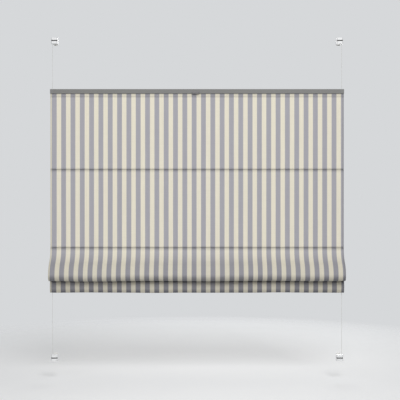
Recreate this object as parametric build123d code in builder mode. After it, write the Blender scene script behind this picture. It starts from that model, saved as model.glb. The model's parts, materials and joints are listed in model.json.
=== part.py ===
"""Roman blind on two tension cords, clamped to a window sash without drilling. Millimetres.

Y = 0 is the room face of the sash and the room lies towards -Y.
X = 0 is the middle of the sash and Z = 0 its mid-height.
"""

import os

from build123d import *

os.makedirs("parts", exist_ok=True)

# Sash that the clamps grip
sash_height = 1294.0
sash_grip = 17.0

# Fits
run_clearance = 0.3
seat_clearance = 0.1
cut_overrun = 1.0

# Tension cords
cord_diameter = 1.4
cord_standoff = 13.0
cord_inset = 7.5
ferrule_across = 5.0
ferrule_length = 6.0

# Clamps
clamp_width = 26.0
clamp_depth = 24.0
clamp_height = 25.0
clamp_inset = 3.0
clamp_corner = 4.0
clamp_edge = 1.0
clamp_groove_height = 4.5
clamp_groove_depth = 7.0
ferrule_floor = 4.0
hook_width = 18.0
hook_thickness = 2.0
hook_lift = 1.0
hook_bend = 3.0
hook_drop = 12.0
hook_reach = 13.0
pad_thickness = 1.5
pad_margin = 1.0
screw_diameter = 4.0
screw_length = 6.0
screw_setback = 5.0
screw_socket = 2.0
screw_socket_depth = 3.0

# Fabric, one sheet with its tucks, fold and hem
fabric_inset = 1.0
fabric_thickness = 1.0
top_section = 309.0
flat_section = 319.2
tuck_bend = 1.7
tuck_seam = 0.2
tuck_reach = 6.8
stitch_drop = 12.0
fold_straight = 12.0
fold_swing = 101.5
fold_depth = 53.0
fold_radius = 20.0
hem_bottom_drop = 182.8
hem_forward = 8.0
hem_pocket = 32.0
hem_close = 6.0
hem_lean_share = 0.74

# Battens in the tucks and their guides on the cords
batten_diameter = 4.0
batten_inset = 1.0
guide_pitch = 5.0
guide_width = 7.0
guide_wall = 1.6
guide_height = 9.0

# Head rail
rail_length = 1200.0
rail_height = 18.5
rail_depth = 22.0
rail_wall = 1.3
rail_corner = 1.5
head_rail_drop = 197.4
cap_length = 13.0
cap_edge = 1.0
plug_length = 12.0
keder_diameter = 3.5
slot_room = 0.4

# Bottom rail
bottom_rail_height = 15.0
bottom_rail_depth = 15.0
bottom_rail_setback = 1.0
stack_gap = 0.6

# Brake bushes in the rails' end caps
bush_diameter = 5.0
bush_flange_width = 7.0
bush_flange = 1.0

# Pull on the head rail
pull_width = 30.0
pull_offset = -6.0
pull_plate = 2.0
pull_rise = 10.0
pull_lip = 7.5
pull_lip_thickness = 2.4
pull_lip_drop = 0.6
pull_clip = 3.0
pull_corner = 3.0

# Hem bar and its guides
hem_bar_height = 24.0
hem_bar_thickness = 3.0
hem_bar_inset = 1.0
hem_bar_edge = 0.6
hem_guide_width = 8.0
hem_guide_plate = 2.0
hem_guide_rise = 13.0

# Widths that follow the head rail
fabric_width = rail_length - 2 * fabric_inset
batten_length = rail_length - 2 * batten_inset
hem_bar_length = fabric_width - 2 * hem_bar_inset

# Places across the depth
cord_y = -cord_standoff
batten_y = cord_y - guide_pitch
fabric_y = batten_y - tuck_reach
cord_x = rail_length / 2 - cord_inset
clamp_x = rail_length / 2 - clamp_inset - clamp_width / 2

# Loop of fabric round a keder, and the channel that holds it
loop_inner = keder_diameter / 2 + run_clearance
channel_radius = loop_inner + fabric_thickness + run_clearance
neck_width = 2 * fabric_thickness + tuck_seam
slot_width = neck_width + 2 * slot_room
tuck_half = neck_width / 2 - fabric_thickness / 2 + tuck_bend
rail_front = fabric_y - channel_radius - rail_wall
bottom_rail_front = fabric_y + fabric_thickness / 2 + bottom_rail_setback
bottom_slot_y = bottom_rail_front + rail_wall + channel_radius

# Places up the height
sash_edge = sash_height / 2
tongue_z = sash_edge + hook_lift + hook_thickness / 2
clamp_floor = tongue_z - clamp_height / 2
rail_bottom = sash_edge - head_rail_drop - rail_height
line_1 = rail_bottom - top_section
line_2 = line_1 - flat_section
bottom_rail_top = line_2 - guide_height / 2 - stack_gap
bottom_rail_bottom = bottom_rail_top - bottom_rail_height
fold_z = line_2 - fold_straight - fold_swing
fold_front = fabric_y - fold_depth
fold_back = fold_front + 2 * fold_radius
hem_z = line_2 - hem_bottom_drop
hem_y = fabric_y - hem_forward
hem_bar_y = hem_y + fabric_thickness / 2 + run_clearance + hem_bar_thickness / 2
hem_bend = (hem_bar_thickness + fabric_thickness) / 2 + run_clearance

# Clamp housing, upper right: a block with a groove across its bevelled front and a slot for the hook's tongue
with BuildPart() as clamp_housing:
    with BuildSketch(Plane.XY.offset(clamp_floor)) as clamp_plan:
        with Locations((clamp_x, -clamp_depth / 2)):
            Rectangle(clamp_width, clamp_depth)
        chamfer(clamp_plan.vertices().group_by(Axis.Y)[0], clamp_corner)
    extrude(amount=clamp_height)
    top_edges = clamp_housing.faces().group_by(Axis.Z)[-1].edges().group_by(Axis.Y)
    chamfer(top_edges[0] + top_edges[1], clamp_edge)
    groove_y = (clamp_groove_depth - cut_overrun) / 2 - clamp_depth
    with Locations((clamp_x, groove_y, tongue_z)):
        Box(
            clamp_width + cut_overrun,
            clamp_groove_depth + cut_overrun,
            clamp_groove_height,
            mode=Mode.SUBTRACT,
        )
    with Locations((clamp_x, -clamp_depth / 2, tongue_z)):
        Box(
            hook_width + 2 * run_clearance,
            clamp_depth + cut_overrun,
            hook_thickness + 2 * run_clearance,
            mode=Mode.SUBTRACT,
        )
    with BuildSketch(Plane.XY.offset(clamp_floor + ferrule_floor)):
        with Locations((cord_x, cord_y)):
            RegularPolygon(ferrule_across / 2 + seat_clearance, 6)
    extrude(amount=tongue_z - clamp_floor - ferrule_floor, mode=Mode.SUBTRACT)
    with BuildSketch(Plane.XY.offset(clamp_floor)):
        with Locations((cord_x, cord_y)):
            Circle(cord_diameter / 2 + run_clearance)
    extrude(amount=ferrule_floor, mode=Mode.SUBTRACT)
    with BuildSketch(Plane.XY.offset(tongue_z)):
        with Locations((clamp_x, -screw_setback)):
            Circle(screw_diameter / 2 + seat_clearance)
    extrude(amount=clamp_height / 2, mode=Mode.SUBTRACT)

# Hook: a bent strip whose tongue slides through the housing and whose lip drops behind the sash edge
lip_y = sash_grip + pad_thickness + hook_thickness / 2
with BuildPart() as clamp_hook:
    with BuildSketch(Plane.YZ.offset(clamp_x)):
        with BuildLine():
            Line((-hook_reach, tongue_z), (lip_y - hook_bend, tongue_z))
            CenterArc((lip_y - hook_bend, tongue_z - hook_bend), hook_bend, 0, 90)
            Line((lip_y, tongue_z - hook_bend), (lip_y, sash_edge - hook_drop))
        trace(line_width=hook_thickness)
    extrude(amount=hook_width / 2, both=True)
    lip_tip = clamp_hook.edges().filter_by(Axis.Y).group_by(Axis.Z)[0]
    chamfer(lip_tip, hook_bend)

# Soft pad on the lip, so that the sash isn't marked
pad_top = tongue_z - hook_bend
pad_bottom = sash_edge - hook_drop + hook_bend
with BuildPart() as hook_pad:
    with Locations((clamp_x, sash_grip + pad_thickness / 2, (pad_top + pad_bottom) / 2)):
        Box(hook_width - 2 * pad_margin, pad_thickness, pad_top - pad_bottom)

# Set screw that pinches the tongue
with BuildPart() as clamp_screw:
    screw_z = tongue_z + hook_thickness / 2 + seat_clearance
    with BuildSketch(Plane.XY.offset(screw_z)):
        with Locations((clamp_x, -screw_setback)):
            Circle(screw_diameter / 2)
    extrude(amount=screw_length)
    with BuildSketch(Plane.XY.offset(screw_z + screw_length)):
        with Locations((clamp_x, -screw_setback)):
            RegularPolygon(screw_socket / 2, 6, major_radius=False)
    extrude(amount=-screw_socket_depth, mode=Mode.SUBTRACT)

# Ferrule crimped on the cord's end, six-sided like the pliers' jaws and seated in a six-sided pocket
with BuildPart() as cord_ferrule:
    with BuildSketch(Plane.XY.offset(clamp_floor + ferrule_floor)):
        with Locations((cord_x, cord_y)):
            RegularPolygon(ferrule_across / 2, 6)
            Circle(cord_diameter / 2 + seat_clearance, mode=Mode.SUBTRACT)
    extrude(amount=ferrule_length)

# Each clamp is the upper right one, mirrored to its corner of the sash
corners = {
    "top_right": (),
    "top_left": (Plane.YZ,),
    "bottom_right": (Plane.XY,),
    "bottom_left": (Plane.YZ, Plane.XY),
}
for corner, mirrors in corners.items():
    for name, piece in {
        "clamp_housing": clamp_housing,
        "clamp_hook": clamp_hook,
        "hook_pad": hook_pad,
        "clamp_screw": clamp_screw,
        "cord_ferrule": cord_ferrule,
    }.items():
        shape = piece.part
        for plane in mirrors:
            shape = mirror(shape, about=plane, mode=Mode.PRIVATE)
        shape.label = f"{name}_{corner}"
        export_step(shape, f"parts/{name}_{corner}.step")

# Tension cords, one at each side, from ferrule to ferrule
cord_end = clamp_floor + ferrule_floor + ferrule_length
for side, sign in (("left", -1), ("right", 1)):
    with BuildPart() as tension_cord:
        with BuildSketch(Plane.XY):
            with Locations((sign * cord_x, cord_y)):
                Circle(cord_diameter / 2)
        extrude(amount=cord_end, both=True)
    tension_cord.part.label = f"tension_cord_{side}"
    export_step(tension_cord.part, f"parts/tension_cord_{side}.step")

# Head rail and bottom rail: one kind of extrusion, with a keder channel at the front that opens downwards
rails = {
    "head_rail": (rail_front, rail_depth, rail_bottom, rail_height, rail_length),
    "bottom_rail": (
        bottom_rail_front,
        bottom_rail_depth,
        bottom_rail_bottom,
        bottom_rail_height,
        fabric_width,
    ),
}
for rail, (front, depth, bottom, height, length) in rails.items():
    body_half = length / 2 - cap_length
    middle = (front + depth / 2, bottom + height / 2)
    channel = (front + rail_wall + channel_radius, bottom + rail_wall + channel_radius)
    back_low = (channel[0] + channel_radius + rail_wall, bottom + rail_wall)
    back_high = (front + depth - rail_wall, bottom + height - rail_wall)
    upper_low = (front + rail_wall, channel[1] + channel_radius + rail_wall)
    with BuildPart() as rail_body:
        with BuildSketch(Plane.YZ):
            with Locations(middle):
                RectangleRounded(depth, height, rail_corner)
            with Locations(back_low):
                Rectangle(
                    back_high[0] - back_low[0],
                    back_high[1] - back_low[1],
                    align=(Align.MIN, Align.MIN),
                    mode=Mode.SUBTRACT,
                )
            with Locations(upper_low):
                Rectangle(
                    back_high[0] - upper_low[0],
                    back_high[1] - upper_low[1],
                    align=(Align.MIN, Align.MIN),
                    mode=Mode.SUBTRACT,
                )
            with Locations(channel):
                Circle(channel_radius, mode=Mode.SUBTRACT)
                Rectangle(slot_width, height, align=(Align.CENTER, Align.MAX), mode=Mode.SUBTRACT)
        extrude(amount=body_half, both=True)
    rail_body.part.label = rail
    export_step(rail_body.part, f"parts/{rail}.step")

    # Keder rod in the loop of fabric
    with BuildPart() as keder:
        with BuildSketch(Plane.YZ):
            with Locations(channel):
                Circle(keder_diameter / 2)
        extrude(amount=body_half - seat_clearance, both=True)
    keder.part.label = f"{rail}_keder"
    export_step(keder.part, f"parts/{rail}_keder.step")

    for side, sign in (("left", -1), ("right", 1)):
        # End cap: a block in the rail's outline with a plug in the rail's rear chamber and an upright bore
        with BuildPart() as end_cap:
            with BuildSketch(Plane.YZ.offset(sign * body_half)):
                with Locations(middle):
                    RectangleRounded(depth, height, rail_corner)
            extrude(amount=sign * cap_length)
            chamfer(end_cap.faces().sort_by(Axis.X)[-1 if sign > 0 else 0].edges(), cap_edge)
            with BuildSketch(Plane.YZ.offset(sign * body_half)):
                with Locations(((back_low[0] + back_high[0]) / 2, middle[1])):
                    Rectangle(
                        back_high[0] - back_low[0] - 2 * seat_clearance,
                        back_high[1] - back_low[1] - 2 * seat_clearance,
                    )
            extrude(amount=-sign * plug_length)
            with BuildSketch(Plane.XY.offset(bottom)):
                with Locations((sign * cord_x, cord_y)):
                    Circle(bush_diameter / 2 + seat_clearance)
            extrude(amount=height, mode=Mode.SUBTRACT)
        end_cap.part.label = f"{rail}_cap_{side}"
        export_step(end_cap.part, f"parts/{rail}_cap_{side}.step")

        # Brake bush that grips the cord, pushed in from below up to its square flange
        with BuildPart() as brake_bush:
            with BuildSketch(Plane.XY.offset(bottom)):
                with Locations((sign * cord_x, cord_y)):
                    Circle(bush_diameter / 2)
            extrude(amount=height)
            with BuildSketch(Plane.XY.offset(bottom)):
                with Locations((sign * cord_x, cord_y)):
                    Rectangle(bush_flange_width, bush_flange_width)
            extrude(amount=-bush_flange)
            with BuildSketch(Plane.XY.offset(bottom - bush_flange)):
                with Locations((sign * cord_x, cord_y)):
                    Circle(cord_diameter / 2 + run_clearance)
            extrude(amount=height + bush_flange, mode=Mode.SUBTRACT)
        brake_bush.part.label = f"{rail}_brake_{side}"
        export_step(brake_bush.part, f"parts/{rail}_brake_{side}.step")

# Pull: a plate on the rail's face with a lip to grip and a clip under the rail's lower edge
plate_y = rail_front - seat_clearance
clip_z = rail_bottom - seat_clearance
with BuildPart() as rail_pull:
    with BuildSketch(Plane.YZ.offset(pull_offset)):
        with BuildLine():
            plate_top = rail_bottom + pull_rise
            lip_top = clip_z - pull_lip_drop + pull_lip_thickness
            lip_start = (plate_y - pull_plate, lip_top + pull_lip - pull_plate)
            Line((plate_y, plate_top), (plate_y - pull_plate, plate_top))
            Line((plate_y - pull_plate, plate_top), lip_start)
            TangentArc(lip_start, (plate_y - pull_lip, lip_top), tangent=(0, -1))
            lip_end = (plate_y - pull_lip, lip_top - pull_lip_thickness)
            Line((plate_y - pull_lip, lip_top), lip_end)
            under_end = (plate_y + pull_clip, clip_z - pull_lip_thickness / 2)
            TangentArc(under_end, lip_end, tangent=(-1, 0))
            Line(under_end, (plate_y + pull_clip, clip_z))
            Line((plate_y + pull_clip, clip_z), (plate_y, clip_z))
            Line((plate_y, clip_z), (plate_y, plate_top))
        make_face()
    extrude(amount=pull_width / 2, both=True)
    fillet(rail_pull.faces().sort_by(Axis.Y)[0].edges().filter_by(Axis.Z), pull_corner / 2)
    upright = rail_pull.faces().sort_by(Axis.Z)[-1].edges().filter_by(Axis.Y)
    fillet(upright, pull_corner)
rail_pull.part.label = "rail_pull"
export_step(rail_pull.part, "parts/rail_pull.step")

# Battens in the two upper tucks, each with a guide at both ends that rides on the cord
batten_loop = batten_diameter / 2 + run_clearance
for number, line in ((1, line_1), (2, line_2)):
    with BuildPart() as batten:
        with BuildSketch(Plane.YZ):
            with Locations((batten_y, line)):
                Circle(batten_diameter / 2)
        extrude(amount=batten_length / 2, both=True)
    batten.part.label = f"batten_{number}"
    export_step(batten.part, f"parts/batten_{number}.step")
    for side, sign in (("left", -1), ("right", 1)):
        with BuildPart() as batten_guide:
            with BuildSketch(Plane.YZ.offset(sign * cord_x)):
                with Locations((batten_y, line)):
                    Circle(batten_diameter / 2 + guide_wall)
                with Locations((cord_y, line)):
                    Rectangle(2 * guide_wall + cord_diameter, guide_height)
                make_hull()
            extrude(amount=guide_width / 2, both=True)
            with BuildSketch(Plane.YZ.offset(sign * cord_x)):
                with Locations((batten_y, line)):
                    Circle(batten_diameter / 2 + seat_clearance)
            extrude(amount=guide_width, both=True, mode=Mode.SUBTRACT)
            with BuildSketch(Plane.XY.offset(line)):
                with Locations((sign * cord_x, cord_y)):
                    Circle(cord_diameter / 2 + run_clearance)
            extrude(amount=guide_height, both=True, mode=Mode.SUBTRACT)
        batten_guide.part.label = f"batten_{number}_guide_{side}"
        export_step(batten_guide.part, f"parts/batten_{number}_guide_{side}.step")

# Hem bar and the guides that hold its ends to the cords
with BuildPart() as hem_bar:
    bar_z = hem_z + fabric_thickness / 2 + hem_bend + hem_bar_height / 2
    with BuildSketch(Plane.YZ):
        with Locations((hem_bar_y, bar_z)):
            RectangleRounded(hem_bar_thickness, hem_bar_height, hem_bar_edge)
    extrude(amount=hem_bar_length / 2, both=True)
hem_bar.part.label = "hem_bar"
export_step(hem_bar.part, "parts/hem_bar.step")
plate_front = hem_bar_y + hem_bar_thickness / 2 + seat_clearance
for side, sign in (("left", -1), ("right", 1)):
    with BuildPart() as hem_guide:
        with BuildSketch(Plane.YZ.offset(sign * cord_x)):
            with Locations((plate_front, bar_z)):
                Rectangle(hem_guide_plate, hem_guide_rise, align=(Align.MIN, Align.CENTER))
            with Locations((cord_y, bar_z)):
                Rectangle(2 * guide_wall + cord_diameter, guide_height)
            make_hull()
        extrude(amount=hem_guide_width / 2, both=True)
        with BuildSketch(Plane.XY.offset(bar_z)):
            with Locations((sign * cord_x, cord_y)):
                Circle(cord_diameter / 2 + run_clearance)
        extrude(amount=hem_guide_rise, both=True, mode=Mode.SUBTRACT)
    hem_guide.part.label = f"hem_guide_{side}"
    export_step(hem_guide.part, f"parts/hem_guide_{side}.step")


def sway(start, end):
    """Two equal arcs that leave the start upright and arrive at the end upright."""
    middle = ((start[0] + end[0]) / 2, (start[1] + end[1]) / 2)
    upright = (0, 1 if end[1] > start[1] else -1)
    first_arc = TangentArc(start, middle, tangent=upright)
    TangentArc(middle, end, tangent=first_arc % 1)


# Fabric: the section of the whole sheet, drawn down its length and extruded across its width
head_loop = (fabric_y, rail_bottom + rail_wall + channel_radius)
bottom_loop = (bottom_slot_y, bottom_rail_bottom + rail_wall + channel_radius)
stitch_z = rail_bottom - stitch_drop
neck_z = bottom_rail_bottom - tuck_bend
layer_offset = (neck_width - fabric_thickness) / 2
with BuildPart() as fabric:
    with BuildSketch(Plane.YZ):
        # Flat sections between the stitched top hem and the two tucks
        with BuildLine():
            Line((fabric_y, stitch_z), (fabric_y, line_1 + tuck_half))
        trace(line_width=fabric_thickness)
        with BuildLine():
            Line((fabric_y, line_1 - tuck_half), (fabric_y, line_2 + tuck_half))
        trace(line_width=fabric_thickness)
        # Tucks: the sheet turns back from both sides into a neck and a loop round the batten
        for line in (line_1, line_2):
            with BuildLine():
                CenterArc((fabric_y + tuck_bend, line + tuck_half), tuck_bend, 180, 90)
            trace(line_width=fabric_thickness)
            with BuildLine():
                CenterArc((fabric_y + tuck_bend, line - tuck_half), tuck_bend, 90, 90)
            trace(line_width=fabric_thickness)
            with Locations((fabric_y + tuck_bend, line)):
                neck = tuck_reach - tuck_bend - batten_loop
                Rectangle(neck, neck_width, align=(Align.MIN, Align.CENTER))
            with Locations((batten_y, line)):
                Circle(batten_loop + fabric_thickness)
                Circle(batten_loop, mode=Mode.SUBTRACT)
        # Soft fold: forward from the second tuck, round its foot and up behind to the bottom rail
        with BuildLine():
            Line((fabric_y, line_2 - tuck_half), (fabric_y, line_2 - fold_straight))
            sway((fabric_y, line_2 - fold_straight), (fold_front, fold_z))
            CenterArc((fold_front + fold_radius, fold_z), fold_radius, 180, 180)
            sway((fold_back, fold_z), (bottom_slot_y - layer_offset, neck_z))
        trace(line_width=fabric_thickness)
        # Hem section: down from the bottom rail to the hem, round its foot and up to the closing seam
        with BuildLine():
            hem_foot = hem_z + fabric_thickness / 2 + hem_bend
            lean_z = neck_z - (neck_z - hem_foot) * hem_lean_share
            sway((bottom_slot_y + layer_offset, neck_z), (hem_y, lean_z))
            Line((hem_y, lean_z), (hem_y, hem_foot))
            CenterArc((hem_y + hem_bend, hem_foot), hem_bend, 180, 180)
            Line((hem_y + 2 * hem_bend, hem_foot), (hem_y + 2 * hem_bend, hem_foot + hem_pocket))
            Line((hem_y + 2 * hem_bend, hem_foot + hem_pocket), (hem_y, hem_foot + hem_pocket + hem_close))
        trace(line_width=fabric_thickness)
        # Necks and loops in the two keder channels
        for loop, low in ((head_loop, stitch_z), (bottom_loop, neck_z)):
            with Locations((loop[0], low)):
                Rectangle(neck_width, loop[1] - low - loop_inner, align=(Align.CENTER, Align.MIN))
            with Locations(loop):
                Circle(loop_inner + fabric_thickness)
                Circle(loop_inner, mode=Mode.SUBTRACT)
    extrude(amount=fabric_width / 2, both=True)
    # Ends cut back behind the face, so that the guides and end caps have their room
    guide_room = cord_x - guide_width / 2 - run_clearance
    hem_room = cord_x - hem_guide_width / 2 - run_clearance
    face_back = fabric_y + tuck_bend + fabric_thickness / 2
    hem_back = hem_y + fabric_thickness / 2 + seat_clearance
    pocket_height = hem_pocket + hem_close
    loop_height = 2 * (batten_loop + fabric_thickness + cut_overrun)
    rows = (
        (guide_room, face_back, line_1, loop_height),
        (guide_room, face_back, line_2, loop_height),
        (hem_room, hem_back, hem_foot + pocket_height / 2 - hem_bend, pocket_height + 2 * hem_bend),
    )
    end_width = fabric_width / 2 + cut_overrun
    for sign in (-1, 1):
        for start, back, middle_z, tall in rows:
            with Locations((sign * start, back, middle_z)):
                Box(
                    end_width - start,
                    -back,
                    tall,
                    align=(Align.MIN if sign > 0 else Align.MAX, Align.MIN, Align.CENTER),
                    mode=Mode.SUBTRACT,
                )
        for length, low, high in (
            (rail_length, rail_bottom, rail_bottom + rail_height),
            (fabric_width, bottom_rail_bottom, bottom_rail_top),
        ):
            start = length / 2 - cap_length - run_clearance
            back = rail_front if low == rail_bottom else bottom_rail_front
            with Locations((sign * start, back, low - run_clearance)):
                Box(
                    end_width - start,
                    -back,
                    high - low + 2 * run_clearance,
                    align=(Align.MIN if sign > 0 else Align.MAX, Align.MIN, Align.MIN),
                    mode=Mode.SUBTRACT,
                )
fabric.part.label = "fabric"
export_step(fabric.part, "parts/fabric.step")
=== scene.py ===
# %% [markdown]
# # A striped roman blind on tension cords
# The blind is one sheet of striped cloth under a slim grey rail. Two sewn tucks hold thin battens, the
# foot of the sheet hangs in a soft fold, and a flat bar weighs the hem. Taut cords run down both sides
# between four clamps. The rigid parts come from the CAD frame. This lesson gives them their finishes, and
# sews the cloth anew.

# %% Load the frame
import json
import math

import bmesh
import bpy
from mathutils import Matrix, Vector


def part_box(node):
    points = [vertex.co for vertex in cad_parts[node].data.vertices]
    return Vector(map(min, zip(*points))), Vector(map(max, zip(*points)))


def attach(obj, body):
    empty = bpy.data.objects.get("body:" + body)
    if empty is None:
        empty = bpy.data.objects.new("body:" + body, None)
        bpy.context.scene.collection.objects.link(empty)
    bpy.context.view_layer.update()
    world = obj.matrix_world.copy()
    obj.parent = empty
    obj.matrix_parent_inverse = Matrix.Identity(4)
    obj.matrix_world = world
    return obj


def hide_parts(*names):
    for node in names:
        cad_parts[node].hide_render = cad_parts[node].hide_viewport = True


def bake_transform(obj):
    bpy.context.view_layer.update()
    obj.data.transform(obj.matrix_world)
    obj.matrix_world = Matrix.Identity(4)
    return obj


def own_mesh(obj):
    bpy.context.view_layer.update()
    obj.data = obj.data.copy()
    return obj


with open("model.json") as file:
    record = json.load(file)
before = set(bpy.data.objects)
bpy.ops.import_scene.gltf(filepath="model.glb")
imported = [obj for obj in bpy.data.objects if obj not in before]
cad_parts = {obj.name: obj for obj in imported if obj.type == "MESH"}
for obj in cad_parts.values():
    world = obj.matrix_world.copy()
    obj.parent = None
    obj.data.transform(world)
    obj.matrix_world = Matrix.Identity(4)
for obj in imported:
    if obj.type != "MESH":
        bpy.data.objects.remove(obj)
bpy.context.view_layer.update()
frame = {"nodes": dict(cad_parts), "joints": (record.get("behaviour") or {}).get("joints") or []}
nodes = frame["nodes"]

# %% [markdown]
# ## Camera
# The blind is seen square on from about three and a half metres, so its rails are level and only the
# fold, which stands nearer, looks a little wider. A long lens at that distance gives the same faint
# widening.

# %% Camera
camera_data = bpy.data.cameras.new("front_camera")
camera_data.lens = 75.8
camera_data.sensor_width = 36.0
camera = bpy.data.objects.new("front_camera", camera_data)
camera.location = (0.012, -3.465, -0.003)
camera.rotation_euler = (math.radians(90), 0, 0)
bpy.context.scene.collection.objects.link(camera)
bpy.context.scene.camera = camera
print("camera at", tuple(round(c, 3) for c in camera.location), "lens", camera_data.lens)

# %% [markdown]
# ## Shader sums as plain expressions
# A finish is easier to read as a sum than as a web of nodes. `Value` wraps one socket, and an expression
# such as `1 - mask * 0.2` adds the Math nodes for it. `Finish.node` makes every other node from its kind,
# settings and inputs.


# %% Shader helpers
class Value:
    """A shader number or colour that changes over the surface."""

    def __init__(self, finish, socket):
        self.finish = finish
        self.socket = socket

    def math(self, operation, first, second=0.0, third=0.0):
        return self.finish.node("Math", {"operation": operation}, {0: first, 1: second, 2: third})

    def __add__(self, other):
        return self.math("ADD", self, other)

    def __radd__(self, other):
        return self.math("ADD", other, self)

    def __sub__(self, other):
        return self.math("SUBTRACT", self, other)

    def __rsub__(self, other):
        return self.math("SUBTRACT", other, self)

    def __mul__(self, other):
        return self.math("MULTIPLY", self, other)

    def __rmul__(self, other):
        return self.math("MULTIPLY", other, self)

    def __truediv__(self, other):
        return self.math("DIVIDE", self, other)

    def __abs__(self):
        return self.math("ABSOLUTE", self)

    def sin(self):
        return self.math("SINE", self)

    def fract(self):
        return self.math("FRACT", self)

    def clamped(self):
        return self.finish.node("Clamp", {}, {0: self, 1: 0.0, 2: 1.0})


class Finish:
    """A material whose Principled shader is fed by expressions."""

    def __init__(self, name, **constants):
        self.material = bpy.data.materials.new(name)
        self.material.use_nodes = True
        self.tree = self.material.node_tree
        self.shader = self.tree.nodes["Principled BSDF"]
        for socket, value in constants.items():
            self.shader.inputs[socket.replace("_", " ")].default_value = value

    def node(self, kind, settings, inputs, output=0):
        made = self.tree.nodes.new("ShaderNode" + kind)
        for key, value in settings.items():
            setattr(made, key, value)
        for key, value in inputs.items():
            if isinstance(value, Value):
                self.tree.links.new(value.socket, made.inputs[key])
            else:
                made.inputs[key].default_value = value
        return Value(self, made.outputs[output])

    def parts(self, vector):
        return [self.node("SeparateXYZ", {}, {0: vector}, n) for n in range(3)]

    def place(self):
        return self.node("TexCoord", {}, {}, "Object")

    def noise(self, x, y, z, detail=2.0, scale=1.0):
        spot = self.node("CombineXYZ", {}, {0: x, 1: y, 2: z})
        return self.node("TexNoise", {}, {"Vector": spot, "Scale": scale, "Detail": detail}, "Fac")

    def tinted(self, colour, tone):
        plain = colour if isinstance(colour, Value) else colour[:3]
        return self.node("VectorMath", {"operation": "SCALE"}, {0: plain, "Scale": tone})

    def mixed(self, factor, first, second):
        return self.node("Mix", {"data_type": "RGBA"}, {0: factor, 6: first, 7: second}, 2)

    def bump(self, height, depth, strength=1.0):
        return self.node("Bump", {}, {"Height": height, "Distance": depth, "Strength": strength})

    def feed(self, **sockets):
        for socket, value in sockets.items():
            self.tree.links.new(value.socket, self.shader.inputs[socket.replace("_", " ")])
        return self.material


def srgb(red, green, blue):
    """A colour as it looks on a screen, from 0 to 255, turned into the linear light that a shader takes."""
    shares = (red / 255, green / 255, blue / 255)
    linear = [share / 12.92 if share <= 0.04 else ((share + 0.055) / 1.055) ** 2.4 for share in shares]
    return (*linear, 1.0)


print("cream cloth in linear light:", [round(c, 3) for c in srgb(228, 222, 204)])

# %% [markdown]
# ## Stage
# A pale floor and a pale world keep the blind in plain view from every side. The floor fades out around
# the object, so no horizon crosses the picture, and it still takes the soft shadow. Camera, glossy and
# transmitted rays see the pale world, while the light that falls on the blind is weaker.

# %% Floor
floor_level = -0.74
floor_radius = 2.4
fade_start = 1.15
fade_rate = 0.32
floor_mesh = bmesh.new()
bmesh.ops.create_circle(floor_mesh, cap_ends=True, segments=64, radius=floor_radius)
bmesh.ops.translate(floor_mesh, verts=floor_mesh.verts, vec=(0, 0, floor_level))
floor = bpy.data.objects.new("floor", bpy.data.meshes.new("floor"))
floor_mesh.to_mesh(floor.data)
floor_mesh.free()
bpy.context.scene.collection.objects.link(floor)
floor_finish = Finish("pale_floor", Roughness=0.9)
floor_x, floor_y, floor_z = floor_finish.parts(floor_finish.place())
reach = (floor_x * floor_x + floor_y * floor_y) * fade_rate
faint = floor_finish.noise(floor_x, floor_y, floor_z, scale=3.0)
floor_finish.feed(
    Base_Color=floor_finish.tinted(srgb(240, 241, 242), 0.98 + faint * 0.04),
    Alpha=(fade_start - reach).clamped(),
)
floor.data.materials.append(floor_finish.material)
print("floor at", floor_level)

# %% World and lamps
world = bpy.data.worlds.new("pale_room")
bpy.context.scene.world = world
world.use_nodes = True
world_tree = world.node_tree
world_tree.nodes.clear()
rays = world_tree.nodes.new("ShaderNodeLightPath")
seen = world_tree.nodes.new("ShaderNodeMath")
seen.operation = "MAXIMUM"
world_tree.links.new(rays.outputs["Is Camera Ray"], seen.inputs[0])
seen_also = world_tree.nodes.new("ShaderNodeMath")
seen_also.operation = "MAXIMUM"
world_tree.links.new(rays.outputs["Is Glossy Ray"], seen_also.inputs[0])
world_tree.links.new(rays.outputs["Is Transmission Ray"], seen_also.inputs[1])
world_tree.links.new(seen_also.outputs[0], seen.inputs[1])
ambient = world_tree.nodes.new("ShaderNodeBackground")
ambient.inputs["Color"].default_value = (1.0, 1.0, 1.0, 1.0)
ambient.inputs["Strength"].default_value = 0.24
backdrop = world_tree.nodes.new("ShaderNodeBackground")
backdrop.inputs["Color"].default_value = srgb(214, 216, 218)
backdrop.inputs["Strength"].default_value = 1.0
either = world_tree.nodes.new("ShaderNodeMixShader")
world_tree.links.new(seen.outputs[0], either.inputs[0])
world_tree.links.new(ambient.outputs[0], either.inputs[1])
world_tree.links.new(backdrop.outputs[0], either.inputs[2])
world_out = world_tree.nodes.new("ShaderNodeOutputWorld")
world_tree.links.new(either.outputs[0], world_out.inputs[0])
lamps = {
    "key_lamp": ((0.75, -3.0, 2.0), 1.7, 77.5),
    "fill_lamp": ((-1.8, -2.9, 0.7), 2.3, 29.5),
    "back_lamp": ((0.6, 3.2, 0.9), 2.6, 84.0),
}
for lamp_name, (lamp_place, lamp_size, lamp_watts) in lamps.items():
    lamp_data = bpy.data.lights.new(lamp_name, "AREA")
    lamp_data.size = lamp_size
    lamp_data.energy = lamp_watts
    lamp = bpy.data.objects.new(lamp_name, lamp_data)
    lamp.location = lamp_place
    lamp.rotation_euler = (-Vector(lamp_place)).to_track_quat("-Z", "Y").to_euler()
    bpy.context.scene.collection.objects.link(lamp)
bpy.context.scene.view_settings.view_transform = "Standard"
print("lamps:", {name: spec[2] for name, spec in lamps.items()})

# %% [markdown]
# ## Powder-coated rails
# The rails are aluminium extrusions with a matt grey powder coat. Powder melts into a faint orange peel,
# so a fine noise drives a shallow bump and a small change of roughness. A picture texture could do it
# too, but noise has no seams and no end.


# %% Coated rails
shaded_bare_steel = srgb(92, 92, 94)
wear_sharpness = 2000.0


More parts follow.
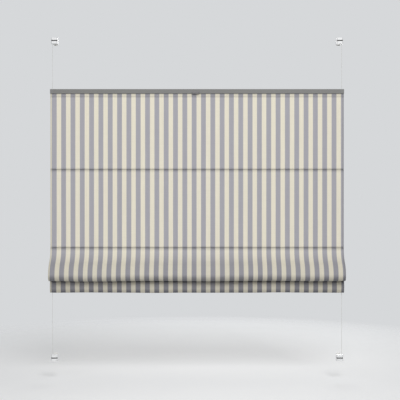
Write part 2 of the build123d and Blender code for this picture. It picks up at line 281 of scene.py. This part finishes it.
def coated_metal(name, colour, peel=1600.0, worn_and_shaded_to=None):
    finish = Finish(name, Metallic=0.0, IOR=1.5)
    x, y, z = finish.parts(finish.place())
    peel_height = finish.noise(x, y, z, scale=peel, detail=3.0)
    patches = finish.noise(x, y, z, scale=9.0)
    # Past the worn edge the colour is bare steel, painted darker than steel as painted shade in the groove.
    if worn_and_shaded_to is not None:
        colour = finish.mixed(((worn_and_shaded_to - y) * wear_sharpness).clamped(), colour, shaded_bare_steel)
    return finish.feed(
        Base_Color=finish.tinted(colour, 0.95 + patches * 0.06 + peel_height * 0.04),
        Roughness=0.46 + peel_height * 0.16,
        Normal=finish.bump(peel_height, 0.0002, 0.5),
    )


rail_coat = coated_metal("rail_coat", srgb(117, 117, 115))
print("rail coat:", len(rail_coat.node_tree.nodes), "nodes")

# %% [markdown]
# ## Moulded plastic
# End caps, pull, guides and clamp housings are injection mouldings. Their moulds are spark-eroded, which
# leaves a fine even grain, and the melt leaves slow streaks. Grain goes to the bump, streaks to colour
# and roughness. The inside of a clamp's groove is painted darker by height and depth, as painted shade.


# %% Moulded plastic
groove_margin = 0.0004
groove_lip = 0.0006
groove_shade = 0.92


def moulded_plastic(name, colour, rough, grain=2200.0, groove=None):
    finish = Finish(name, IOR=1.49)
    x, y, z = finish.parts(finish.place())
    grain_height = finish.noise(x, y, z, scale=grain, detail=2.0)
    streaks = finish.noise(x * 18.0, y * 60.0, z * 60.0, detail=3.0)
    tone = 0.95 + streaks * 0.08 + grain_height * 0.02
    # Painted shade: the inside of the groove is darkened by its height and depth.
    if groove:
        groove_z, half_height, front_y, floor_y = groove
        level = ((half_height + groove_margin - abs(abs(z) - groove_z)) * 4000.0).clamped()
        behind_lip = ((y - front_y - groove_lip) * 500.0).clamped()
        before_floor = ((floor_y + groove_margin - y) * 4000.0).clamped()
        tone = tone * (1.0 - level * (behind_lip * before_floor) * groove_shade)
    return finish.feed(
        Base_Color=finish.tinted(colour, tone),
        Roughness=rough - 0.06 + streaks * 0.08 + grain_height * 0.06,
        Normal=finish.bump(grain_height, 0.00012, 0.35),
    )


cap_plastic = moulded_plastic("cap_plastic", srgb(119, 119, 118), 0.5)
pull_plastic = moulded_plastic("pull_plastic", srgb(113, 112, 112), 0.42)
clamp_groove = (0.649, 0.00225, -0.024, -0.017)
clamp_plastic = moulded_plastic("clamp_plastic", srgb(228, 229, 230), 0.42, groove=clamp_groove)
guide_plastic = moulded_plastic("guide_plastic", srgb(222, 222, 216), 0.4)
keder_plastic = moulded_plastic("keder_plastic", srgb(232, 231, 226), 0.45)
plastics = (cap_plastic, pull_plastic, clamp_plastic, guide_plastic, keder_plastic)
print("plastics:", [m.name for m in plastics])

# %% [markdown]
# ## Metals
# The hem bar, ferrules and screws are bare metal, drawn or turned, so their roughness runs in streaks.
# Stretching a noise along the draw gives that grain. The hooks are steel with a white coat and use the
# coat from above. It is worn off the end of the tongue, which slides in the housing, and the bare steel
# there is painted darker than steel, as painted shade inside the clamp's groove.


# %% Drawn metal
def drawn_metal(name, colour, rough, along):
    finish = Finish(name, Metallic=1.0)
    x, y, z = finish.parts(finish.place())
    spread = [x * 2600.0, y * 2600.0, z * 2600.0]
    spread[along] = (x, y, z)[along] * 30.0
    grain = finish.noise(*spread, detail=3.0)
    return finish.feed(
        Base_Color=finish.tinted(colour, 0.9 + grain * 0.16),
        Roughness=rough - 0.1 + grain * 0.2,
        Normal=finish.bump(grain, 0.00006, 0.3),
    )


bar_metal = drawn_metal("bar_metal", srgb(214, 214, 216), 0.42, 0)
ferrule_metal = drawn_metal("ferrule_metal", srgb(205, 205, 207), 0.38, 2)
screw_metal = drawn_metal("screw_metal", srgb(150, 150, 153), 0.36, 2)
# The tongue's worn end is painted dark, partly as wear and partly as painted shade in the groove.
tongue_worn_and_shaded_to = -0.012
hook_coat = coated_metal("hook_coat", srgb(232, 232, 230), 2100.0, worn_and_shaded_to=tongue_worn_and_shaded_to)
print("metals:", [m.name for m in (bar_metal, ferrule_metal, screw_metal, hook_coat)])

# %% [markdown]
# ## Soft grips, fibre battens and braided cord
# Brake bushes are dark rubber and the hook pads pale foam, both dull with a fine cell pattern. The
# battens are drawn glass fibre with long threads. The cords are braided: two sets of strands cross, which
# is two sines of the angle round the cord and the height along it, one winding each way.


# %% Soft grips and fibre
def soft_grip(name, colour, cells):
    finish = Finish(name, Roughness=0.85)
    x, y, z = finish.parts(finish.place())
    spot = finish.node("CombineXYZ", {}, {0: x, 1: y, 2: z})
    cell = finish.node("TexVoronoi", {}, {"Vector": spot, "Scale": cells}, "Distance")
    dust = finish.noise(x, y, z, scale=140.0)
    return finish.feed(
        Base_Color=finish.tinted(colour, 0.86 + cell * 0.2 + dust * 0.08),
        Roughness=0.78 + dust * 0.14,
        Normal=finish.bump(cell, 0.0002, 0.4),
    )


def drawn_fibre(name, colour):
    finish = Finish(name, IOR=1.5)
    x, y, z = finish.parts(finish.place())
    threads = finish.noise(x * 12.0, y * 3000.0, z * 3000.0, detail=2.0)
    return finish.feed(
        Base_Color=finish.tinted(colour, 0.92 + threads * 0.14),
        Roughness=0.3 + threads * 0.2,
        Normal=finish.bump(threads, 0.00008, 0.4),
    )


strands = 4.0
strand_rate = 2600.0


def braided_cord(name, colour, middle_x, middle_y):
    finish = Finish(name, Roughness=0.8, Sheen_Weight=0.2)
    x, y, z = finish.parts(finish.place())
    angle = x.math("ARCTAN2", y - middle_y, abs(x) - middle_x)
    braid = (angle * strands + z * strand_rate).sin() * (angle * strands - z * strand_rate).sin()
    fuzz = finish.noise(x, y, z, scale=3000.0)
    return finish.feed(
        Base_Color=finish.tinted(colour, 0.88 + braid * 0.1 + fuzz * 0.1),
        Roughness=0.72 + fuzz * 0.16,
        Normal=finish.bump(braid, 0.00012, 0.6),
    )


brake_rubber = soft_grip("brake_rubber", srgb(70, 70, 70), 2600.0)
pad_foam = soft_grip("pad_foam", srgb(206, 206, 200), 1800.0)
batten_fibre = drawn_fibre("batten_fibre", srgb(226, 222, 208))
cord_centre = [(low + high) / 2 for low, high in zip(*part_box("tension_cord_right"))]
cord_braid = braided_cord("cord_braid", srgb(216, 216, 213), cord_centre[0], cord_centre[1])
print("cords run at x", round(cord_centre[0], 4), "y", round(cord_centre[1], 4))

# %% Finishes onto the CAD parts
finishes = (
    ("head_rail_keder", keder_plastic),
    ("bottom_rail_keder", keder_plastic),
    ("head_rail_cap", cap_plastic),
    ("bottom_rail_cap", cap_plastic),
    ("head_rail_brake", brake_rubber),
    ("bottom_rail_brake", brake_rubber),
    ("head_rail", rail_coat),
    ("bottom_rail", rail_coat),
    ("rail_pull", pull_plastic),
    ("batten_1_guide", guide_plastic),
    ("batten_2_guide", guide_plastic),
    ("batten", batten_fibre),
    ("hem_guide", guide_plastic),
    ("hem_bar", bar_metal),
    ("clamp_housing", clamp_plastic),
    ("clamp_hook", hook_coat),
    ("hook_pad", pad_foam),
    ("clamp_screw", screw_metal),
    ("cord_ferrule", ferrule_metal),
    ("tension_cord", cord_braid),
)
for node_name, node_object in nodes.items():
    chosen = next((finish for start, finish in finishes if node_name.startswith(start)), None)
    if chosen:
        node_object.data.materials.clear()
        node_object.data.materials.append(chosen)
print("dressed", sum(1 for n in nodes if n != "fabric"), "CAD parts")

# %% [markdown]
# ## Striped cloth
# The cloth is a plain weave with the stripes woven in, so a stripe is a change of warp thread and keeps
# its place however the cloth folds. Each cloth piece carries a UV map in metres: across the width, and
# down along the sheet. The stripe is a pulse of the distance across, its edge a little ragged where
# threads meet. Slubs are noise stretched along warp and weft. Where more layers lie behind the face, less
# light would come through, and that is painted shade: an attribute darkens the colour there, and it also
# holds painted shadows under the rail and the fold and a painted lightening below the fold. The wrong
# side has the same stripes and is hardly darkened.

# %% Cloth finish
stripe_pitch = 0.03808
first_grey = -0.5831
cream_half_share = 0.242
stripe_sharpness = 24.0
ragged_edge = 0.0006
thread_rate = 5200.0


def woven_stripes(name, shaded):
    finish = Finish(name, Roughness=0.92, Sheen_Weight=0.12, Sheen_Roughness=0.5, IOR=1.4)
    across, down, _ = finish.parts(finish.node("UVMap", {"uv_map": "sheet"}, {}))
    # Painted shade: the attribute darkens the colour where less light would pass through the cloth.
    layer_shade = finish.node("Attribute", {"attribute_name": "layers"}, {}, "Fac") * shaded
    ragged = finish.noise(across * 300.0, down * 700.0, 0.0, detail=1.0) - 0.5
    stripe = ((across - first_grey + ragged * ragged_edge) / stripe_pitch).fract()
    grey_part = ((abs(stripe - 0.5) - cream_half_share) * stripe_sharpness + 0.5).clamped()
    warp_slubs = finish.noise(across * 330.0, down * 5.0, 0.0, detail=4.0)
    weft_slubs = finish.noise(across * 9.0, down * 450.0, 4.0, detail=4.0)
    slubs = 0.875 + warp_slubs * 0.17 + weft_slubs * 0.08
    tone = slubs * (1.0 - layer_shade * (0.31 + grey_part * 0.17))
    threads = (across * thread_rate).sin() * (down * thread_rate).sin()
    stripes = finish.mixed(grey_part, srgb(229, 223, 205), srgb(167, 166, 173))
    return finish.feed(
        Base_Color=finish.tinted(stripes, tone),
        Roughness=0.86 + warp_slubs * 0.12,
        Normal=finish.bump(threads * 0.5 + warp_slubs + weft_slubs, 0.00018, 0.5),
    )


cloth_face = woven_stripes("cloth_face", 1.0)
cloth_wrong_side = woven_stripes("cloth_wrong_side", 0.2)
print("stripes every", stripe_pitch * 1000, "mm")

# %% [markdown]
# ## Sewing pattern
# A blind has the same cross-section all over its width, so each piece is a line drawn down the section
# and swept sideways. Straight runs extrude the last point and bends spin it, and the sweep is a spin with
# no angle and a sideways step. A grid bent by sums could make the same sheet, but then the bends would be
# a list of numbers.

# %% Strip of cloth
cloth_left = -0.599
cloth_right = 0.599
pocket_end = 0.5882
channel_end = 0.5856
inner_steps = 150
cloth_thickness = 0.0009


class Strip:
    """A section in Y and Z at the cloth's left edge, drawn from its tip and then swept to the right."""

    def __init__(self, y, z):
        self.mesh = bmesh.new()
        self.tip = self.mesh.verts.new((cloth_left, y, z))

    def run(self, y, z, parts=1):
        start = self.tip.co.copy()
        for part in range(parts):
            self.tip = bmesh.ops.extrude_vert_indiv(self.mesh, verts=[self.tip])["verts"][0]
            self.tip.co = start.lerp(Vector((cloth_left, y, z)), (part + 1) / parts)
        return self

    def bend(self, y, z, degrees, parts):
        made = bmesh.ops.spin(
            self.mesh,
            geom=[self.tip],
            cent=(cloth_left, y, z),
            axis=(1, 0, 0),
            angle=math.radians(degrees),
            steps=parts,
        )
        self.tip = next(v for v in made["geom_last"] if isinstance(v, bmesh.types.BMVert))
        return self

    def sway(self, y, z, parts):
        """Two equal bends that leave upright and arrive upright."""
        start = self.tip.co.copy()
        shift, rise = y - start.y, z - start.z
        radius = (shift * shift + rise * rise) / (4 * abs(shift))
        turn = math.degrees(2 * math.atan(abs(shift) / abs(rise)))
        side = math.copysign(radius, shift)
        way = -1 if shift * rise > 0 else 1
        self.bend(start.y + side, start.z, way * turn, parts)
        return self.bend(y - side, z, -way * turn, parts)

    def sweep(self):
        """The section pushed across the width, right side out, with UVs in metres; returns its length."""
        self.mesh.verts.ensure_lookup_table()
        along = [0.0]
        for upper, lower in zip(self.mesh.verts[:-1], self.mesh.verts[1:]):
            along.append(along[-1] + (lower.co - upper.co).length)
        rows = len(along)
        edge_steps = [(cloth_right - pocket_end, 1), (pocket_end - channel_end, 1)]
        middle_steps = [(2 * channel_end / inner_steps, inner_steps)]
        front = list(self.mesh.verts) + list(self.mesh.edges)
        for step, count in edge_steps + middle_steps + edge_steps[::-1]:
            made = bmesh.ops.spin(
                self.mesh,
                geom=front,
                cent=(0, 0, 0),
                axis=(1, 0, 0),
                dvec=(step, 0, 0),
                angle=0.0,
                steps=count,
            )
            front = made["geom_last"]
        self.mesh.verts.ensure_lookup_table()
        sheet_uv = self.mesh.loops.layers.uv.new("sheet")
        for face in self.mesh.faces:
            face.smooth = True
            for corner in face.loops:
                corner[sheet_uv].uv = (corner.vert.co.x, along[corner.vert.index % rows])
        self.mesh.normal_update()
        downwards = self.mesh.verts[1].co - self.mesh.verts[0].co
        if self.mesh.verts[0].link_faces[0].normal.dot(downwards.cross(Vector((1, 0, 0)))) < 0:
            bmesh.ops.reverse_faces(self.mesh, faces=self.mesh.faces)
        self.rows = rows
        return along[-1]


trial = Strip(0.0, 0.0).run(0.0, -0.1, 4)
print("trial strip:", round(trial.sweep(), 4), "m down,", len(trial.mesh.faces), "faces")
trial.mesh.free()

# %% [markdown]
# ## Unevenness
# Cloth is never quite flat. Three slow sines of unlike lengths make a wave that doesn't repeat over the
# width. Each piece takes it by a weight that is nothing where the piece is sewn to the next one, so the
# seams stay shut.


# %% Waves
def wave(x, shift):
    return (
        0.5 * math.sin(x * 7.3 + shift)
        + 0.3 * math.sin(x * 17.1 + shift * 2.3)
        + 0.2 * math.sin(x * 31.7 + shift * 3.1)
    )


def finish_strip(name, strip, layers, shape=None, cut=None):
    """Sweeps a strip, cuts its ends back, moves its points by shape(), and makes it a piece of cloth."""
    length = strip.sweep()
    rows = strip.rows
    mesh = strip.mesh
    # The attribute layers holds painted shade, which darkens the cloth's colour.
    shade_layer = mesh.verts.layers.float.new("layers")
    last = rows - 1
    for vert in mesh.verts:
        share = (vert.index % rows) / last
        vert[shade_layer] = layers(vert.co, share)
    if cut:
        gone = [face for face in mesh.faces if cut(face.calc_center_median())]
        bmesh.ops.delete(mesh, geom=gone, context="FACES")
    if shape:
        uv = mesh.loops.layers.uv.active
        for vert in mesh.verts:
            moved = shape(vert.co, vert.link_loops[0][uv].uv.y / length)
            vert.co += Vector((0.0, *moved))
    piece = bpy.data.objects.new(name, bpy.data.meshes.new(name))
    mesh.to_mesh(piece.data)
    mesh.free()
    bpy.context.scene.collection.objects.link(piece)
    piece.data.materials.append(cloth_face)
    piece.data.materials.append(cloth_wrong_side)
    thick = piece.modifiers.new("thickness", "SOLIDIFY")
    thick.thickness = cloth_thickness
    thick.offset = 0.0
    thick.material_offset = 1
    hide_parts("fabric")
    print(name, "is", round(length * 1000, 1), "mm down the sheet,", len(piece.data.polygons), "faces")
    return piece


# %% [markdown]
# ## Top hem
# The sheet's top edge goes round a keder rod inside the rail and is sewn to itself just below, so two
# layers hang out of the rail's slot. The piece rides with the rail.

# %% Top hem
cloth_y = -0.0248
rail_bottom = 0.4311
stitch_z = 0.4191
neck_gap = 0.0006
seam_allowance = 0.003
cut_margin = 0.0004
# Painted shade for the two layers of the hem, and a painted shadow of the rail just below its slot.
two_layer_shade = 0.45
rail_shade = 0.5
rail_shade_reach = 0.005
keder_z = 0.43575
keder_loop = 0.00255
neck_top = keder_z - math.sqrt(keder_loop**2 - neck_gap**2)
loop_turn = 360 - 2 * math.degrees(math.asin(neck_gap / keder_loop))


def top_hem_shade(co, share):
    """Painted shade for two layers, and a painted rail shadow on the last few millimetres below its slot.
    """
    return two_layer_shade + rail_shade * min(1.0, max(0.0, 1 - (rail_bottom - co.z) / rail_shade_reach))


top = Strip(cloth_y + neck_gap, stitch_z - seam_allowance)
top.run(cloth_y + neck_gap, neck_top, 4)
top.bend(cloth_y, keder_z, loop_turn, 20)
top.run(cloth_y - neck_gap, stitch_z, 8)
top_hem = finish_strip(
    "top_hem",
    top,
    top_hem_shade,
    cut=lambda middle: abs(middle.x) > channel_end and middle.z > rail_bottom - cut_margin,
)
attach(top_hem, "head_rail")

# %% [markdown]
# ## Upper panel
# From the stitch line to the first tuck hangs a flat panel. When the batten below slides up, the real
# cloth gathers. A squash along Z would follow that travel exactly if it kept what is left of the panel's
# height at the end of the range. This cell works out that share but applies no squash.

# %% Upper panel
line_1 = 0.1221
line_2 = -0.1971
tuck_bend = 0.0017
tuck_half = 0.0023
# Painted shade just above each tuck.
turn_shade = 0.35
turn_reach = 0.006
hem_end = 0.005
hem_ease = 0.016
upper_wave = 0.0011


def shade_above_tuck(co, line):
    """The cloth turns in just above a tuck, and its last few millimetres get a little painted shade."""
    return turn_shade * max(0.0, 1 - (co.z - line - tuck_half) / turn_reach)


def upper_shade(co, share):
    """Painted shade where the back of the top hem still hangs behind the first few millimetres."""
    behind = two_layer_shade if co.z > stitch_z - (seam_allowance + hem_end) / 2 else 0.0
    return shade_above_tuck(co, line_1) + behind


batten_1_travel = next(j["range_m"][1] for j in frame["joints"] if j["name"] == "batten_1_slide")
upper = Strip(cloth_y - neck_gap, stitch_z).run(cloth_y - neck_gap, stitch_z - seam_allowance)
upper.run(cloth_y - neck_gap, stitch_z - hem_end).run(cloth_y, stitch_z - hem_ease, 2)
upper.run(cloth_y, line_1 + tuck_half + turn_reach, 26)
upper.run(cloth_y, line_1 + tuck_half, 3)
upper_height = stitch_z - line_1 - tuck_half
upper_panel = finish_strip(
    "upper_panel",
    upper,
    upper_shade,
    shape=lambda co, share: (upper_wave * wave(co.x, 0.6 + 2 * share) * math.sin(math.pi * share), 0.0),
)
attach(upper_panel, "head_rail")
1 - batten_1_travel / upper_height
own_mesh(upper_panel)

# %% [markdown]
# ## Batten pockets
# At a tuck the sheet turns back, is stitched to itself as a short neck, and loops round the batten. From
# the front only a dark line shows. The loop stops short of the guides at both ends, so faces behind the
# neck are cut away there.

# %% Batten pockets
batten_y = -0.018
batten_loop = 0.0028
# Painted shade in and just below each pocket.
inside_shade = 1.1
tuck_shade = 0.95
tuck_reach = 0.014
first_bend_share = 0.1
last_bend_share = 0.95
pocket_turn = 360 - 2 * math.degrees(math.asin(neck_gap / batten_loop))
neck_end = batten_y - math.sqrt(batten_loop**2 - neck_gap**2)


def shade_below_tuck(co, line):
    """The pocket hangs behind the face just below a tuck, painted as shade that fades further down."""
    return tuck_shade * max(0.0, 1 - (line - tuck_half - co.z) / tuck_reach) ** 2


def pocket_shade(co, share):
    """Painted shade: only the two bends are on the face. The neck and the loop between them are inside."""
    if share < first_bend_share:
        return turn_shade
    return tuck_shade if share > last_bend_share else inside_shade


for number, line in ((1, line_1), (2, line_2)):
    tuck = Strip(cloth_y, line + tuck_half)
    tuck.bend(cloth_y + tuck_bend, line + tuck_half, 90, 5)
    tuck.run(neck_end, line + neck_gap, 2)
    tuck.bend(batten_y, line, -pocket_turn, 20)
    tuck.run(cloth_y + tuck_bend, line - neck_gap, 2)
    tuck.bend(cloth_y + tuck_bend, line - tuck_half, 90, 5)
    pocket = finish_strip(
        f"batten_pocket_{number}",
        tuck,
        pocket_shade,
        cut=lambda middle: abs(middle.x) > pocket_end and middle.y > cloth_y + tuck_bend + cut_margin,
    )
    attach(pocket, f"batten_{number}")

# %% [markdown]
# ## Lower panel
# The second panel hangs from the first batten down to the second one. Real cloth gathers towards the
# first; this cell works out the share of height left but applies no squash.

# %% Lower panel
batten_2_travel = next(j["range_m"][1] for j in frame["joints"] if j["name"] == "batten_2_slide")
lower_wave = 0.0012
lower = Strip(cloth_y, line_1 - tuck_half).run(cloth_y, line_1 - tuck_half - hem_ease, 5)
lower.run(cloth_y, line_2 + tuck_half + turn_reach, 28)
lower.run(cloth_y, line_2 + tuck_half, 3)
lower_height = line_1 - line_2 - 2 * tuck_half
lower_panel = finish_strip(
    "lower_panel",
    lower,
    lambda co, share: shade_above_tuck(co, line_2) + shade_below_tuck(co, line_1),
    shape=lambda co, share: (lower_wave * wave(co.x, 3.1 + 2 * share) * math.sin(math.pi * share), 0.0),
)
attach(lower_panel, "batten_1")
1 - batten_2_travel / lower_height
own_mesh(lower_panel)

# %% [markdown]
# ## Soft fold
# Below the second tuck there is spare cloth. It swings forward, turns round a loose foot and climbs up
# behind to the bottom rail. The fold is built in two halves whose seam lies a little past the foot; both
# are made at rest only and are not blended between the second batten and the rail.

# %% Soft fold
fold_lead = 0.0045
fold_top = line_2 - fold_lead
fold_z = -0.3106
fold_front_y = -0.0778
fold_radius = 0.02
fold_foot = fold_z - fold_radius
slot_y = -0.01865
neck_z = -0.2189
past_foot = 30.0
foot_y = fold_front_y + fold_radius
seam_y = foot_y + fold_radius * math.sin(math.radians(past_foot))
seam_z = fold_z - fold_radius * math.cos(math.radians(past_foot))
behind_start = line_2 - 0.018
behind_reach = 0.05
under_start = fold_z + 0.008
under_reach = 0.011
# Painted shade behind the fold's face and where it turns under at the foot.
behind_shade = 0.5
under_shade = 0.45
back_shade = 0.35
fold_foot_shade = behind_shade + 2 * under_shade
foot_fade = 0.03
fold_wave_height = 0.0024
foot_wave_height = 0.0013
foot_wave_rate = 13.4
foot_wave_start = -0.19
foot_tilt = 0.0018


def loosened(weight):
    return weight * weight * (3 - 2 * weight)


def fold_wave(co, weight):
    return fold_wave_height * wave(co.x, 1.3) * loosened(weight)


def foot_wave(co, share):
    """The foot hangs unevenly, lower at the left. The seam is level, as the wave fades to nothing there."""
    past = co.z < fold_z and co.y > foot_y
    weight = 1 - (co.y - foot_y) / (seam_y - foot_y) if past else share
    uneven = foot_wave_height * math.cos((co.x - foot_wave_start) * foot_wave_rate)
    return (uneven + foot_tilt * co.x) * loosened(weight)


def fold_shade(co, share):
    """Painted shade for one layer more behind the fold's face, and more where it turns under at the foot.
    """
    behind = min(1.0, max(0.0, (behind_start - co.z) / behind_reach))
    under = min(1.0, max(0.0, (under_start - co.z) / under_reach))
    foot = max(0.0, (fold_z - co.z) / fold_radius)
    return shade_below_tuck(co, line_2) + behind_shade * behind + under_shade * (under + foot)


def fold_back_shade(co, share):
    """Painted shade as strong as the front's at the foot, and soon that of a single layer."""
    return back_shade + (fold_foot_shade - back_shade) * max(0.0, 1 - (co.z - fold_foot) / foot_fade)


front = Strip(cloth_y, line_2 - tuck_half).run(cloth_y, fold_top, 4)
front.sway(fold_front_y, fold_z, 14)
front.bend(foot_y, fold_z, 90 + past_foot, 11)
fold_front = finish_strip(
    "fold_front",
    front,
    fold_shade,
    shape=lambda co, share: (fold_wave(co, share), foot_wave(co, share)),
)
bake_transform(fold_front)
back = Strip(seam_y, seam_z).bend(foot_y, fold_z, 90 - past_foot, 5)
back.sway(slot_y - neck_gap, neck_z, 9)
fold_back = finish_strip(
    "fold_back",
    back,
    fold_back_shade,
    shape=lambda co, share: (fold_wave(co, 1 - share), 0.0),
)
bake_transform(fold_back)

# %% [markdown]
# ## Hem panel
# Behind the fold the sheet loops round the bottom rail's keder, hangs down past the fold's foot and turns
# up round the hem bar. The closing seam joins it to the face again. Its foot sags a little below the bar.

# %% Hem panel
bottom_keder_z = -0.21255
bottom_neck = bottom_keder_z - math.sqrt(keder_loop**2 - neck_gap**2)
hem_y = -0.0328
hem_foot = -0.3771
hem_bend = 0.0023
lean_share = 0.74
hem_lean = neck_z - (neck_z - hem_foot) * lean_share
turn_up = 0.032
pocket_height = 0.0372
hem = Strip(slot_y - neck_gap, neck_z).run(slot_y - neck_gap, bottom_neck, 2)
hem.bend(slot_y, bottom_keder_z, -loop_turn, 20)
hem.run(slot_y + neck_gap, neck_z, 2)
hem.sway(hem_y, hem_lean, 10)
hem.run(hem_y, hem_foot, 14)
hem.bend(hem_y + hem_bend, hem_foot, 180, 10)
hem.run(hem_y + 2 * hem_bend, hem_foot + turn_up, 6)
hem.run(hem_y + cloth_thickness, hem_foot + pocket_height, 2)
# Painted shade for the hem's face, a painted shadow line under the fold, painted light below it, and a
# darker foot.
hem_face_shade = 0.95
hem_back_shade = 0.4
hidden_above = fold_foot + 0.01
painted_light_share = 0.3
painted_light_reach = 0.024
fold_shadow_strength = 1.3
fold_shadow_line = fold_foot - 0.0055
fold_shadow_reach = 0.004
hem_foot_shade = 0.6
hem_foot_shade_reach = 0.014
hem_swell = 0.0042
hem_sag = 0.0011
pocket_cut = -0.335
loop_cut = 0.001
face_cut = 0.0012


def hem_shade(co, share):
    """Painted shade for the bar and cloth behind the face and the sagging foot, a painted shadow line
    under the fold's foot, and a painted lightening just below that.
    """
    if co.z > hidden_above or co.y > hem_y + hem_bend:
        return hem_back_shade
    fold_shadow = max(0.0, 1 - abs(co.z - fold_shadow_line) / fold_shadow_reach)
    foot_shaded = max(0.0, 1 - (co.z - hem_foot) / hem_foot_shade_reach)
    painted_light = max(0.0, 1 - (fold_foot - co.z) / painted_light_reach)
    return hem_face_shade - painted_light_share * painted_light + fold_shadow_strength * fold_shadow + hem_foot_shade * foot_shaded


def hem_shape(co, share):
    """The pocket's face swells over the bar and draws in to its foot, which sags unevenly."""
    depth = min(1.0, max(0.0, (hem_lean - co.z) / (hem_lean - hem_foot)))
    swell = -hem_swell * math.sin(math.pi * depth) if co.y < hem_y + hem_bend else 0.0
    sag = -hem_sag * (1 + wave(co.x, 2.2)) * depth**4
    return swell, sag


def hem_cut(middle):
    """The loop ends inside the rail's channel, and the pocket ends before the guides."""
    beside_loop = abs(middle.x) > channel_end and middle.z > neck_z + loop_cut
    behind_face = middle.z < pocket_cut and middle.y > hem_y + face_cut
    return beside_loop or (abs(middle.x) > pocket_end and behind_face)


hem_panel = finish_strip(
    "hem_panel",
    hem,
    hem_shade,
    shape=hem_shape,
    cut=hem_cut,
)
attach(hem_panel, "bottom_rail")

# %% [markdown]
# ## Stitches
# Lock-stitched seams close the top hem, the necks of the pockets and the hem. One stitch is a thin bead
# that dips into the cloth at both ends, and an Array modifier repeats it across the width.

# %% Stitches
stitch_pitch = 0.0032
bead_half = (0.00135, 0.00026, 0.00026)
thread_finish = Finish("sewing_thread", Roughness=0.7, Sheen_Weight=0.2)
thread_x, _, thread_z = thread_finish.parts(thread_finish.place())
twist = ((thread_x + thread_z) * 9000.0).sin()
sewing_thread = thread_finish.feed(
    Base_Color=thread_finish.tinted(srgb(205, 200, 188), 0.9 + twist * 0.1),
    Normal=thread_finish.bump(twist, 0.00006, 0.5),
)


def stitch_row(name, body, y, z, reach_x):
    bead = bmesh.new()
    bmesh.ops.create_uvsphere(bead, u_segments=6, v_segments=4, radius=1.0)
    bmesh.ops.scale(bead, verts=bead.verts, vec=bead_half)
    bmesh.ops.translate(bead, verts=bead.verts, vec=(-reach_x + stitch_pitch / 2, y, z))
    for face in bead.faces:
        face.smooth = True
    row = bpy.data.objects.new(name, bpy.data.meshes.new(name))
    bead.to_mesh(row.data)
    bead.free()
    bpy.context.scene.collection.objects.link(row)
    repeat = row.modifiers.new("repeat", "ARRAY")
    repeat.count = int(2 * reach_x / stitch_pitch)
    repeat.use_relative_offset = False
    repeat.use_constant_offset = True
    repeat.constant_offset_displace = (stitch_pitch, 0, 0)
    row.data.materials.append(sewing_thread)
    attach(row, body)
    print(name, "has", repeat.count, "stitches")


face_off = cloth_thickness / 2
seam_end = 0.5965
top_seam_z = stitch_z + 0.002
hem_seam_z = hem_foot + 0.0365
neck_seam_y = -0.0219
stitch_row("top_hem_stitches", "head_rail", cloth_y - neck_gap - face_off, top_seam_z, seam_end)
stitch_row("top_hem_stitches_back", "head_rail", cloth_y + neck_gap + face_off, top_seam_z, seam_end)
for number, line in ((1, line_1), (2, line_2)):
    neck_seam_z = line + neck_gap + face_off
    stitch_row(f"pocket_stitches_{number}", f"batten_{number}", neck_seam_y, neck_seam_z, pocket_end)
stitch_row("hem_stitches", "bottom_rail", hem_y - face_off, hem_seam_z, seam_end)
